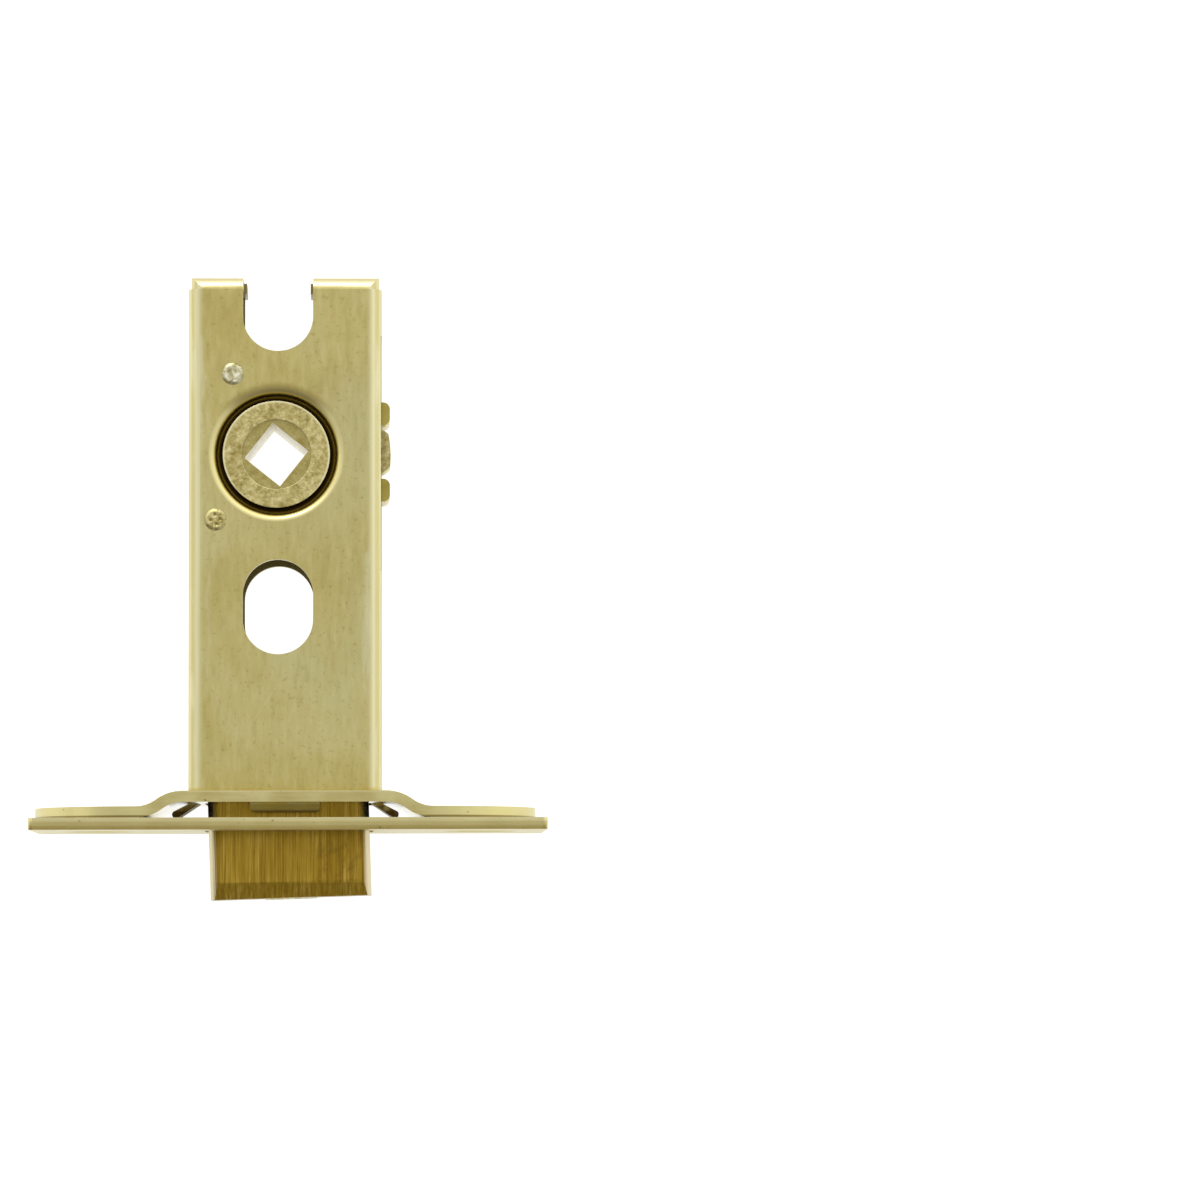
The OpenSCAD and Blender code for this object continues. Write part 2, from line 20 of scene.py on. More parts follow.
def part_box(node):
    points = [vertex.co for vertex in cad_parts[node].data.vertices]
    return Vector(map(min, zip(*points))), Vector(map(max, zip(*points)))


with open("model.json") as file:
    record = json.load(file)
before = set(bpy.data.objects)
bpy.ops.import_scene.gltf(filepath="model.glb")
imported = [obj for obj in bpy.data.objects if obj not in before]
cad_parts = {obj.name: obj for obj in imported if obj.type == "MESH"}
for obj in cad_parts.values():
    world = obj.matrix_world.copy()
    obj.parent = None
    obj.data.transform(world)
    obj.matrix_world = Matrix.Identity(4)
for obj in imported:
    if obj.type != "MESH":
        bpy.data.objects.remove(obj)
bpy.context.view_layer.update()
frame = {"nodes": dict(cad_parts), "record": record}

nodes = frame["nodes"]
MM = 0.001
print("pieces:", sorted(nodes))

# %% [markdown]
# Picture values
#
# The picture is shown with the plain colour transform, so that a colour measured on the real lock
# can be used as it is, and the lit table comes out pure white.

# %% Colour transform
bpy.context.scene.view_settings.view_transform = "Standard"
print("colour transform:", bpy.context.scene.view_settings.view_transform)

# %% [markdown]
# The camera
#
# A long lens looks straight down on the lock, almost square to it, so nothing is strongly
# foreshortened. Three facts fix the view: how far the lens is from the hub's plane, how long it is,
# and how few degrees it leans. The lock stays in the left half of the picture, and the right half
# is empty table.

# %% Camera
LENS_MM = 175.0
SENSOR_MM = 36.0
CAMERA_PLACE_MM = (8.5, -14.3, 676.6)
CAMERA_LEAN = (0.0631, -0.0397, -0.0028)
NEAREST, FURTHEST = 0.01, 20.0

camera_data = bpy.data.cameras.new("camera")
camera_data.lens = LENS_MM
camera_data.sensor_width = SENSOR_MM
camera_data.clip_start = NEAREST
camera_data.clip_end = FURTHEST
camera = bpy.data.objects.new("camera", camera_data)
camera.location = [v * MM for v in CAMERA_PLACE_MM]
camera.rotation_euler = CAMERA_LEAN
bpy.context.scene.collection.objects.link(camera)
bpy.context.scene.camera = camera
print("camera lean in degrees:", [round(math.degrees(a), 2) for a in CAMERA_LEAN])

# %% [markdown]
# The table
#
# Laid on a table the lock tips a little, because the forend is wider than the case is thick. It
# rests on the long edge of the forend and on the far edge of the case. Instead of tipping the
# lock, which must stay in its own frame, the table is tipped to meet those two edges. The table
# glows, which keeps it white and also fills the undersides of the lock with light.

# %% Table
TABLE_HALF = 1.5
TABLE_GAP = 0.00002
TABLE_LOOK = {
    "Base Color": (0.3, 0.3, 0.3, 1.0),
    "Roughness": 0.6,
    "Specular IOR Level": 0.1,
    "Emission Color": (1.0, 1.0, 1.0, 1.0),
    "Emission Strength": 1.0,
}
forend_low, forend_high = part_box("inner_forend")
case_low, case_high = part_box("case_channel")
front_edge = Vector((0.0, forend_high[1], forend_low[2]))
rear_edge = Vector((0.0, case_high[1], case_low[2]))
lie_angle = math.atan2(rear_edge.z - front_edge.z, rear_edge.y - front_edge.y)

table_material = bpy.data.materials.new("lit_table")
table_material.use_nodes = True
table_shader = table_material.node_tree.nodes["Principled BSDF"]
for socket, value in TABLE_LOOK.items():
    table_shader.inputs[socket].default_value = value

table_mesh = bpy.data.meshes.new("table")
corners = [(-TABLE_HALF, -TABLE_HALF, 0), (TABLE_HALF, -TABLE_HALF, 0),
           (TABLE_HALF, TABLE_HALF, 0), (-TABLE_HALF, TABLE_HALF, 0)]
table_mesh.from_pydata(corners, [], [(0, 1, 2, 3)])
table_mesh.materials.append(table_material)
table = bpy.data.objects.new("table", table_mesh)
table.matrix_world = (Matrix.Translation(front_edge - Vector((0, 0, TABLE_GAP)))
                      @ Matrix.Rotation(lie_angle, 4, "X"))
bpy.context.scene.collection.objects.link(table)
print("table tipped by", round(math.degrees(lie_angle), 2), "degrees")

# %% [markdown]
# The room
#
# Plated metal shows what is around it. On the real lock the flat faces are an even olive, the fold
# at the rear is almost white and the bevel at the bolt's nose is dark. So the room is bright
# behind the lock, dimmer in front of it, a little brighter towards +X, and middling overhead. One
# sum over the view direction gives that: a base value and a slope, kept above a least value.

# %% Room light
ROOM_BASE = 1.22
ROOM_SLOPE = (0.18, 0.7, -0.38)
ROOM_LEAST = 0.2
ROOM_TINT = (1.0, 0.995, 0.98, 1.0)

world = bpy.data.worlds.new("studio")
world.use_nodes = True
room = world.node_tree
direction = room.nodes.new("ShaderNodeTexCoord")
lean = room.nodes.new("ShaderNodeVectorMath")
lean.operation = "DOT_PRODUCT"
lean.inputs[1].default_value = ROOM_SLOPE
room.links.new(direction.outputs["Generated"], lean.inputs[0])
strength = lean.outputs["Value"]
for operation, amount in (("ADD", ROOM_BASE), ("MAXIMUM", ROOM_LEAST)):
    step = room.nodes.new("ShaderNodeMath")
    step.operation = operation
    step.inputs[1].default_value = amount
    room.links.new(strength, step.inputs[0])
    strength = step.outputs["Value"]
background = room.nodes["Background"]
background.inputs["Color"].default_value = ROOM_TINT
room.links.new(strength, background.inputs["Strength"])
bpy.context.scene.world = world
print("room straight overhead:", round(ROOM_BASE + ROOM_SLOPE[2], 2))

# %% [markdown]
# Two panels
#
# A soft panel high behind the lock puts a highlight on the rear folds. A very faint one on the
# left keeps that side from looking flat. Both are square area lights that look at the middle of
# the lock.

# %% Light panels
PANEL_AIM = Vector((0.0, 0.025, 0.0))


def soft_panel(name, place, size, watts):
    """A square area light at place, turned to the middle of the lock."""
    light = bpy.data.lights.new(name, "AREA")
    light.shape = "SQUARE"
    light.size = size
    light.energy = watts
    panel = bpy.data.objects.new(name, light)
    panel.location = place
    towards = PANEL_AIM - Vector(place)
    panel.rotation_euler = towards.to_track_quat("-Z", "Y").to_euler()
    bpy.context.scene.collection.objects.link(panel)
    return panel


panels = [
    soft_panel("panel_behind", place=(-0.3, 1.0, 0.6), size=0.5, watts=3.5),
    soft_panel("panel_left", place=(-0.9, 0.2, 0.4), size=0.4, watts=0.25),
]
print("panels:", [panel.name for panel in panels])

# %% [markdown]
# Colours
#
# Colours are written as they look on a screen, from 0 to 255. Shaders work with linear light, so
# each one is turned into that on its way in.

# %% Colours
def colour(r, g, b):
    """A colour given as 8 bit screen values, turned into the linear values that shaders use."""
    def linear(v):
        v /= 255.0
        return v / 12.92 if v <= 0.04045 else ((v + 0.055) / 1.055) ** 2.4
    return (linear(r), linear(g), linear(b), 1.0)


print("mid grey on screen, in linear light:", round(colour(128, 128, 128)[0], 3))

# %% [markdown]
# Arithmetic in a material
#
# Each finish below is a small tree of nodes. The first helper holds one tree and makes the nodes
# that do sums in it: a colour ramp, a mix, a smooth fade between two values, and products of
# masks. A mask is a number from 0 to 1 that says how much of a layer shows. Many masks start and
# end at a known distance from a hole or an edge, so one kind of fade takes millimetres from a
# given origin.

# %% Arithmetic nodes
COLOUR_IN = (6, 7)
COLOUR_OUT = 2


class Arithmetic:
    """The node tree of one material, and the sums that are done in it."""

    def __init__(self, name):
        self.material = bpy.data.materials.new(name)
        self.material.use_nodes = True
        self.nodes = self.material.node_tree.nodes
        self.links = self.material.node_tree.links
        self.shader = self.nodes["Principled BSDF"]

    def feed(self, socket, value):
        """Links an output to a socket, or sets the socket to a plain value."""
        if isinstance(value, bpy.types.NodeSocket):
            self.links.new(value, socket)
        else:
            socket.default_value = value

    def add(self, kind, values):
        """A new node, with its inputs fed by name or number."""
        node = self.nodes.new(kind)
        for key, value in values.items():
            self.feed(node.inputs[key], value)
        return node

    def maths(self, operation, first, second=0.0):
        """One step of arithmetic on factors."""
        node = self.add("ShaderNodeMath", {0: first, 1: second})
        node.operation = operation
        return node.outputs["Value"]

    def unsigned(self, value):
        """A value without its sign."""
        return self.maths("ABSOLUTE", value)

    def product(self, first, *others):
        """The product of masks and plain numbers."""
        for other in others:
            first = self.maths("MULTIPLY", first, other)
        return first

    def ramp(self, factor, *stops):
        """A colour ramp over a factor; stops are (place, colour) pairs."""
        node = self.add("ShaderNodeValToRGB", {"Fac": factor})
        elements = node.color_ramp.elements
        elements.remove(elements[-1])
        elements[0].position, elements[0].color = stops[0]
        for stop_place, stop_colour in stops[1:]:
            elements.new(stop_place).color = stop_colour
        return node.outputs["Color"]

    def mix(self, factor, first, second):
        """Mixes two colours, outputs or plain, by a factor."""
        node = self.nodes.new("ShaderNodeMix")
        node.data_type = "RGBA"
        self.feed(node.inputs["Factor"], factor)
        self.feed(node.inputs[COLOUR_IN[0]], first)
        self.feed(node.inputs[COLOUR_IN[1]], second)
        return node.outputs[COLOUR_OUT]

    def fade(self, value, start, end, low=0.0, high=1.0):
        """Goes smoothly from low to high while value goes from start to end."""
        node = self.add("ShaderNodeMapRange", {"Value": value, "From Min": start, "From Max": end,
                                               "To Min": low, "To Max": high})
        node.interpolation_type = "SMOOTHSTEP"
        return node.outputs["Result"]

    def fade_mm(self, value, start, end, origin=0.0, low=0.0, high=1.0):
        """The same fade, with start and end in millimetres from an origin."""
        return self.fade(value, origin + start * MM, origin + end * MM, low, high)

    def way(self, value, start_mm, run_mm):
        """How far value has gone along a run: 0 at its start and 1 at its end."""
        return self.product(self.maths("SUBTRACT", value, start_mm * MM), 1.0 / (run_mm * MM))


print("sums:", [name for name in vars(Arithmetic) if not name.startswith("_")])

# %% [markdown]
# Where on the piece
#
# The second helper adds what a mask starts from: noise in the piece's own coordinates, a
# coordinate, a distance from a line along Z, and the way the surface faces. How far the surface
# has turned away from all three main directions is large on the folds and on eased edges, and
# nought on flat faces. Patterns made this way stay put from any side.

# %% Places on a piece
FLAT_ABOVE = 0.995
TURNED_BELOW = 0.9


class Places(Arithmetic):
    """Adds the patterns and places that masks are made from."""

    def coordinate(self, kind):
        """The piece's own coordinates (Object) or the way that its surface faces (Normal)."""
        return self.nodes.new("ShaderNodeTexCoord").outputs[kind]

    def place(self, stretch, turn=0.0):
        """The piece's own coordinates, turned about Z and then stretched."""
        output = self.coordinate("Object")
        if turn:
            rotate = self.add("ShaderNodeVectorRotate", {"Vector": output, "Angle": turn})
            rotate.rotation_type = "Z_AXIS"
            output = rotate.outputs["Vector"]
        mapping = self.add("ShaderNodeMapping", {"Vector": output, "Scale": stretch})
        return mapping.outputs["Vector"]

    def noise(self, scale, stretch=(1.0, 1.0, 1.0), detail=3.0, rough=0.5, distortion=0.0,
              turn=0.0):
        """A noise factor; scale is in features per metre."""
        pattern = self.add("ShaderNodeTexNoise", {
            "Vector": self.place(stretch, turn), "Scale": scale, "Detail": detail,
            "Roughness": rough, "Distortion": distortion})
        return pattern.outputs["Fac"]

    def along(self, axis):
        """The piece's own coordinate along X, Y or Z."""
        split = self.add("ShaderNodeSeparateXYZ", {0: self.coordinate("Object")})
        return split.outputs[axis]

    def facing(self, axis):
        """How far the surface faces along an axis, from -1 to 1."""
        split = self.add("ShaderNodeSeparateXYZ", {0: self.coordinate("Normal")})
        return split.outputs[axis]

    def distance(self, centre):
        """Distance from the line along Z through centre."""
        gap = self.add("ShaderNodeVectorMath", {0: self.place((1.0, 1.0, 0.0)),
                                                1: (centre[0], centre[1], 0.0)})
        gap.operation = "DISTANCE"
        return gap.outputs["Value"]

    def turned(self):
        """0 on faces that look along X, Y or Z, rising to 1 where the surface is turned away."""
        across, back, up = (self.unsigned(self.facing(axis)) for axis in "XYZ")
        most = self.maths("MAXIMUM", self.maths("MAXIMUM", across, back), up)
        return self.fade(most, FLAT_ABOVE, TURNED_BELOW)


print("places:", [name for name in vars(Places) if not name.startswith("_")])

# %% [markdown]
# A finish in the making
#
# A plated surface is a stack of layers. The last helper holds the colour film so far, lays one
# tone after another over it where the masks allow, and at the end gives the film, a roughness and
# a bump to the shader, and the material to the solids.

# %% Finishes
METALLIC = 0.95


class Finish(Places):
    """A procedural metal finish in the making."""

    def __init__(self, name):
        super().__init__(name)
        self.shader.inputs["Metallic"].default_value = METALLIC
        self.film = None

    def lay(self, tone, *masks):
        """Lays a tone over the film, as strongly as the product of the masks says."""
        self.film = self.mix(self.product(*masks), self.film, tone)

    def coat(self, roughness):
        """Gives the film and the roughness to the shader."""
        self.links.new(self.film, self.shader.inputs["Base Color"])
        self.links.new(roughness, self.shader.inputs["Roughness"])

    def bump(self, depth_mm, *heights):
        """Stacks bumps on the shader's normal; heights are (factor, strength) pairs."""
        normal = None
        for height, strength in heights:
            node = self.add("ShaderNodeBump", {"Strength": strength, "Distance": depth_mm * MM,
                                               "Height": height})
            if normal is not None:
                self.links.new(normal, node.inputs["Normal"])
            normal = node.outputs["Normal"]
        self.links.new(normal, self.shader.inputs["Normal"])

    def dress(self, *names):
        """Gives the finish to the named solids."""
        for name in names:
            mesh = nodes[name].data
            mesh.materials.clear()
            mesh.materials.append(self.material)
        print(self.material.name, "on", ", ".join(names))


print("moves:", [name for name in vars(Finish) if not name.startswith("_")])

# %% [markdown]
# Eased edges
#
# No edge of a real piece is perfectly sharp, and the thin bright line along an eased edge tells
# the eye that it looks at metal. A bevel modifier rounds the edges that turn by more than an angle.
# The solids arrive as loose triangles, so a weld modifier joins them first, and hardened normals
# keep the flat faces looking flat.

# %% Ease the edges
EASE_MM = 0.12
EASE_ANGLE = math.radians(32)
EASE_SEGMENTS = 2
WELD_REACH = 0.000002


def ease_edges(*names):
    """Rounds the sharp edges of the named solids."""
    for name in names:
        weld = nodes[name].modifiers.new("weld", "WELD")
        weld.merge_threshold = WELD_REACH
        ease = nodes[name].modifiers.new("ease", "BEVEL")
        ease.limit_method = "ANGLE"
        ease.angle_limit = EASE_ANGLE
        ease.width = EASE_MM * MM
        ease.segments = EASE_SEGMENTS
        ease.use_clamp_overlap = True
        ease.harden_normals = True
    print("edges eased by", EASE_MM, "mm on", ", ".join(names))


ease_edges("bolt_head", "outer_forend", "hub", "bolt_tail")

# %% [markdown]
# Film on the case
#
# All the steel here is plated and then dipped in a yellow passivate, which leaves a film of uneven
# thickness: olive and straw colours that drift into each other over some millimetres. One patch
# beside the window and the sheet around and ahead of the hub are a little paler.

# %% Film on the case
hub_joint = next(j for j in frame["record"]["behaviour"]["joints"] if j["name"] == "hub_turn")
HUB_AXIS = hub_joint["pos_m"]
BLOOM_PLACE = (0.0098, 0.0460)
BLOOM_RADII = (12.0, 3.0)
HALO_RADII = (14.0, 9.0)
AHEAD_OF_HUB = (4.0, -1.0)

case = Finish("olive_passivate")
drift = case.noise(75.0, detail=4.0, rough=0.55, distortion=0.5)
case.film = case.ramp(drift, (0.3, colour(181, 166, 100)), (0.5, colour(187, 174, 111)),
                      (0.66, colour(190, 181, 125)))
cloud = case.noise(38.0, detail=2.0)
case.lay(colour(184, 180, 132), case.fade(cloud, 0.5, 0.72, high=0.4))
bloom = case.fade_mm(case.distance(BLOOM_PLACE), *BLOOM_RADII, high=0.7)
case.lay(colour(186, 180, 132), bloom)

from_hub = case.distance(HUB_AXIS)
from_front = case.along("Y")
halo = case.fade_mm(from_hub, *HALO_RADII, high=0.6)
case.lay(colour(190, 181, 126), halo, case.fade_mm(from_front, *AHEAD_OF_HUB, HUB_AXIS[1]))
print("the hub turns about", [round(v / MM, 1) for v in HUB_AXIS], "mm")

# %% [markdown]
# Grain and scratches
#
# Close up, the film is speckled, and the sheet shows the short pale and dark streaks of its
# rolling. A few hair scratches cross the cheek. They are noise too, stretched fifty times in one
# direction, and a second, coarse noise lets only some of them show.

# %% Grain and scratches
HAIR_SHARE = 0.14
PALE_HAIR = (0.6, colour(214, 206, 160))
DARK_HAIR = (-0.9, colour(150, 138, 84))

speckle = case.noise(2300.0, detail=2.0)
case.lay(colour(150, 136, 76), case.fade(speckle, 0.58, 0.76, high=0.5))
rolled = case.noise(1700.0, (1.0, 0.22, 1.0), detail=3.0)
case.lay(colour(204, 195, 142), case.fade(rolled, 0.5, 0.72, high=0.3))
case.lay(colour(164, 149, 88), case.fade(rolled, 0.5, 0.3, high=0.3))

for turn, tone in (PALE_HAIR, DARK_HAIR):
    hair = case.noise(900.0, (1.0, 0.02, 1.0), detail=1.0, turn=turn)
    patch = case.noise(110.0, detail=1.0)
    case.lay(tone, case.fade(hair, 0.70, 0.74), case.fade(patch, 0.5, 0.62), HAIR_SHARE)
print("scratches lie at", [round(math.degrees(turn)) for turn, _ in (PALE_HAIR, DARK_HAIR)],
      "degrees")

# %% [markdown]
# Folds
#
# Each fold is painted pale and banded with painted reflections of what it would mirror as it
# turns away. A ramp over the way that the surface faces gives those bands, one for the two sides
# and one for the rear. A painted highlight also lies on the flat sheet just inside the side folds.

# %% Folds of the case
cover_low, cover_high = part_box("case_cover")
CASE_MIDDLE = (cover_low[0] + cover_high[0]) / 2
CASE_HALF = (cover_high[0] - cover_low[0]) / 2
SHOULDER_HIGHLIGHT_BAND = (-1.9, -1.3)

off_middle = case.unsigned(case.maths("SUBTRACT", case.along("X"), CASE_MIDDLE))
top_only = case.fade(case.facing("Z"), 0.3, 0.6)
# Painted highlight on the flat sheet just inside the side folds.
shoulder_highlight = case.fade_mm(off_middle, *SHOULDER_HIGHLIGHT_BAND, CASE_HALF, high=0.55)
case.lay(colour(206, 199, 150), shoulder_highlight, top_only)

# Painted reflections on the side folds, banded by the way that they face.
sideways = case.unsigned(case.facing("X"))
side_fold_reflection = case.ramp(sideways, (0.1, colour(212, 204, 158)), (0.36, colour(228, 222, 180)),
                      (0.52, colour(198, 190, 138)), (0.72, colour(190, 181, 128)),
                      (0.86, colour(214, 206, 160)), (1.0, colour(200, 190, 136)))
case.lay(side_fold_reflection, case.fade(sideways, 0.04, 0.2, high=0.8), case.fade(sideways, 0.995, 0.95))

backwards = case.facing("Y")
# Painted reflections on the rear fold.
rear_fold_reflection = case.ramp(backwards, (0.05, colour(196, 187, 138)), (0.3, colour(226, 219, 178)),
                      (0.45, colour(232, 226, 196)), (0.7, colour(204, 195, 150)),
                      (1.0, colour(188, 176, 122)))
case.lay(rear_fold_reflection, case.fade(backwards, 0.03, 0.15, high=0.9), case.turned())
print("case is", round(2 * CASE_HALF / MM, 1), "mm across")

# %% [markdown]
# Worn edges and fringe
#
# Handling has rubbed the film along the side folds into broken pale streaks. Where the case meets
# the forend the dip dried slowly, which left a ragged yellow fringe less than a millimetre wide.

# %% Worn edges and fringe
WORN_BAND = (-3.0, -1.6)
FRINGE_BAND = (0.7, 0.0)

worn = case.noise(620.0, (1.0, 0.16, 1.0), detail=3.0)
case.lay(colour(214, 209, 170), case.fade_mm(off_middle, *WORN_BAND, CASE_HALF), top_only,
         case.fade(worn, 0.54, 0.68, high=0.5))
patches = case.noise(330.0, detail=3.0)
case.lay(colour(186, 158, 62), case.fade_mm(from_front, *FRINGE_BAND, forend_high[1]),
         case.fade(patches, 0.42, 0.58, low=0.15, high=0.8))
print("fringe starts at", round(forend_high[1] / MM, 2), "mm")

# %% [markdown]
# Ring round the hub
#
# The hole's edge was pressed inwards as a lip that the hub runs in. From the sheet inwards the
# lip is painted from a highlight on its rounded edge to deep brown shade, which a ramp over the
# distance from the hub's axis gives. Behind the hub a band of painted shade follows the edge, and
# the sheet's inside is painted brown as shade where it shows within the ring.

# %% Ring round the hub
LIP_START_MM = 7.0
LIP_RUN_MM = 1.1
LIP_BAND = (LIP_START_MM + LIP_RUN_MM, LIP_START_MM + 0.6 * LIP_RUN_MM)
LIP_SHADE_STARTS = (7.1, 7.5)
LIP_SHADE_ENDS = (8.7, 7.7)
BEHIND_HUB = (4.2, 6.8)
BELOW_LIP = (-0.9, -2.2)
WITHIN_RING = (8.4, 7.9)

# Painted highlight on the lip's rounded edge, going to painted shade deeper in.
lip = case.ramp(case.way(from_hub, LIP_START_MM, LIP_RUN_MM),
                (0.0, colour(110, 90, 24)), (0.12, colour(158, 138, 66)),
                (0.25, colour(196, 180, 108)), (0.45, colour(216, 206, 150)),
                (0.7, colour(212, 202, 146)), (1.0, colour(190, 178, 118)))
case.lay(lip, case.fade_mm(from_hub, *LIP_BAND))
# Painted shade on the lip behind the hub.
case.lay(colour(122, 101, 34), case.fade_mm(from_hub, *LIP_SHADE_STARTS),
         case.fade_mm(from_hub, *LIP_SHADE_ENDS),
         case.fade_mm(from_front, *BEHIND_HUB, HUB_AXIS[1]), 0.65)
from_face = case.along("Z")
# Painted shade on the sheet's inside, within the ring.
case.lay(colour(132, 112, 46), case.fade_mm(from_face, *BELOW_LIP, case_high[2]),
         case.fade_mm(from_hub, *WITHIN_RING))
print("lip from", LIP_START_MM, "to", round(LIP_START_MM + LIP_RUN_MM, 2), "mm from the axis")

# %% [markdown]
# Inside and tongues
#
# Through the window and the open slot the inside of the case looks brown, because little light
# gets there; that brown is painted shade. The three tongues at the front were hammered over the
# forend. They are painted darker as shade, with a mottle on the two splayed sides that stands in
# for their shading, and painted almost black at their tips as shadow.

# %% Inside and tongues
BELOW_SHEET = (-1.3, -1.6)
BETWEEN_WALLS = (-1.1, -1.4)
STAKED_BAND = (-1.1, -1.6)
SPLAYED_BAND = (-1.4, -0.8)
TIP_SHADOW_BAND = (1.1, 0.6)

# Painted shade inside the case.
case.lay(colour(106, 88, 38), case.fade_mm(from_face, *BELOW_SHEET, case_high[2]),
         case.fade_mm(off_middle, *BETWEEN_WALLS, CASE_HALF),
         case.fade(case.facing("Z"), -0.9, -0.6), case.fade(backwards, 0.6, 0.3), 0.7)
# Painted shade over the tongues at the front.
tongue_shade = case.fade_mm(from_front, *STAKED_BAND, forend_high[1])
case.lay(colour(138, 121, 58), tongue_shade, 0.9)
# A mottle of painted shading on the splayed tongues.
tongue_shade_mottle = case.ramp(case.noise(1300.0, detail=3.0), (0.35, colour(92, 74, 26)),
                        (0.5, colour(124, 107, 54)), (0.66, colour(160, 146, 96)))
case.lay(tongue_shade_mottle, tongue_shade, case.fade_mm(off_middle, *SPLAYED_BAND, CASE_HALF), 0.9)
# Painted shadow along the tips of the tongues.
case.lay(colour(62, 43, 5), case.fade_mm(from_front, *TIP_SHADOW_BAND, case_low[1]), 0.85)

case.coat(case.fade(drift, 0.3, 0.7, low=0.3, high=0.44))
case.bump(0.06, (drift, 0.1), (case.noise(2600.0, detail=2.0), 0.08))
case.dress("case_channel", "case_cover")

# %% [markdown]
# Brassed forends
#
# The two plates are a little paler than the case. Their long edges were sheared, which leaves
# fine lines along the edge.

# %% Film on the forends
forend = Finish("brassed_forend")
drift = forend.noise(170.0, detail=4.0, rough=0.55, distortion=0.4)
forend.film = forend.ramp(drift, (0.32, colour(178, 163, 103)), (0.5, colour(188, 177, 119)),
                          (0.68, colour(200, 190, 136)))
lines = forend.noise(2400.0, (0.05, 1.0, 1.0), detail=2.0)
forend.lay(colour(206, 198, 150), forend.fade(lines, 0.4, 0.7, high=0.25))
# Painted highlight on the eased edges and rounded ends.
forend.lay(colour(200, 190, 136), forend.fade(forend.turned(), 0.0, 1.0, high=0.2))
print("forends are", round((forend_high[2] - forend_low[2]) / MM, 1), "mm wide")

# %% [markdown]
# Edges of the plates
#
# Seen from above, the outer plate's edge goes from brown at its face to a painted highlight at its
# back, and painted shade makes a dark line between the two plates. The inner plate is paler
# towards its ends and along its back, and a few small dark pits are scattered over both.

# %% Edges of the plates
plate_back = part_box("outer_forend")[1][1]
PALE_ENDS = (14.5, 17.5)
BACK_STEP = (-0.02, 0.02)
PLATE_STEP = (0.02, -0.02)
LINE_STARTS = (-0.01, 0.02)
LINE_ENDS = (0.34, 0.2)
PALE_BACK = (-0.25, -0.1)

depth = forend.along("Y")
outward = forend.unsigned(forend.along("X"))
forend.lay(colour(207, 198, 140), forend.fade_mm(depth, *BACK_STEP, plate_back),
           forend.fade_mm(outward, *PALE_ENDS, high=0.7))
# Painted highlight towards the back of the outer plate's edge.
plate_edge_highlight = forend.ramp(forend.fade(depth, 0.0, plate_back), (0.0, colour(140, 119, 56)),
                         (0.16, colour(152, 134, 74)), (0.34, colour(175, 161, 106)),
                         (0.66, colour(180, 166, 112)), (0.8, colour(202, 191, 140)),
                         (1.0, colour(212, 202, 154)))
edge_only = forend.fade(forend.unsigned(forend.facing("Z")), 0.4, 0.7)
forend.lay(plate_edge_highlight, forend.fade_mm(depth, *PLATE_STEP, plate_back), edge_only, 0.7)
# Painted shade in the crease between the two plates.
forend.lay(colour(118, 99, 46), forend.fade_mm(depth, *LINE_STARTS, plate_back),
           forend.fade_mm(depth, *LINE_ENDS, plate_back), 0.85)
pits = forend.noise(1500.0, (0.8, 1.6, 1.0), detail=2.0)
forend.lay(colour(92, 76, 36), forend.fade(pits, 0.70, 0.76, high=0.8))
forend.lay(colour(210, 200, 148), forend.fade_mm(depth, *PALE_BACK, forend_high[1], high=0.6))
print("outer plate is", round(plate_back / MM, 2), "mm thick")

# %% [markdown]
# Between the plates
#
# The two plates touch near their ends and part where the inner one rises. The inner one's front
# and the outer one's back carry painted light, as pale as the light that gets in between would make
# them, and are made smoother, so that the gap doesn't turn into a black slit.

# %% Between the plates
FRONT_STEP = (0.0, 0.05)
REAR_STEP = (0.06, 0.03)

inner_front = forend.product(forend.fade(forend.facing("Y"), -0.3, -0.6),
                             forend.fade_mm(depth, *FRONT_STEP, plate_back))
plate_rear = forend.product(forend.fade(forend.facing("Y"), 0.3, 0.6),
                            forend.fade_mm(depth, *REAR_STEP, plate_back))
gap_light_mask = forend.maths("MAXIMUM", inner_front, plate_rear)
# Painted light on the faces between the plates.
forend.lay(colour(236, 231, 208), gap_light_mask, 0.9)
forend.coat(forend.product(forend.fade(drift, 0.3, 0.7, low=0.28, high=0.42),
                           forend.fade(gap_light_mask, 0.0, 1.0, low=1.0, high=0.3)))
forend.bump(0.05, (lines, 0.15), (pits, 0.25))
forend.dress("inner_forend", "outer_forend")

# %% [markdown]
# Tail
#
# The tail is smooth yellow steel: a slow drift between three yellows, a painted highlight on
# its rounded edges, and a low roughness.

# %% Tail
tail = Finish("yellow_tail_steel")
drift = tail.noise(260.0, detail=3.0, distortion=0.3)
tail.film = tail.ramp(drift, (0.3, colour(154, 138, 64)), (0.5, colour(173, 158, 82)),
                      (0.7, colour(194, 181, 110)))
# Painted highlight on the rounded edges.
tail.lay(colour(196, 184, 118), tail.fade(tail.turned(), 0.0, 1.0, high=0.5))
tail.coat(tail.fade(drift, 0.3, 0.7, low=0.22, high=0.34))
tail.bump(0.05, (tail.noise(1800.0, detail=2.0), 0.1))
tail.dress("bolt_tail")

# %% [markdown]
# Skin of the hub
#
# The hub is a zinc casting. Its skin is grainy, with pale high spots and darker pits, so its
# pattern is much finer than that of the sheet, and its bump is deeper. The recess round the square
# hole is darkened with painted shade, the eased edges carry a painted highlight, and the collar's
# rim carries a painted highlight that fades towards the front.

# %% Skin of the hub
RECESS_MM = 4.1
COLLAR_MM = 6.28
RIM_HIGHLIGHT_BAND = (COLLAR_MM - 0.3, COLLAR_MM - 0.15)
RIM_HIGHLIGHT_FADES_OUT = (-5.5, -2.0)

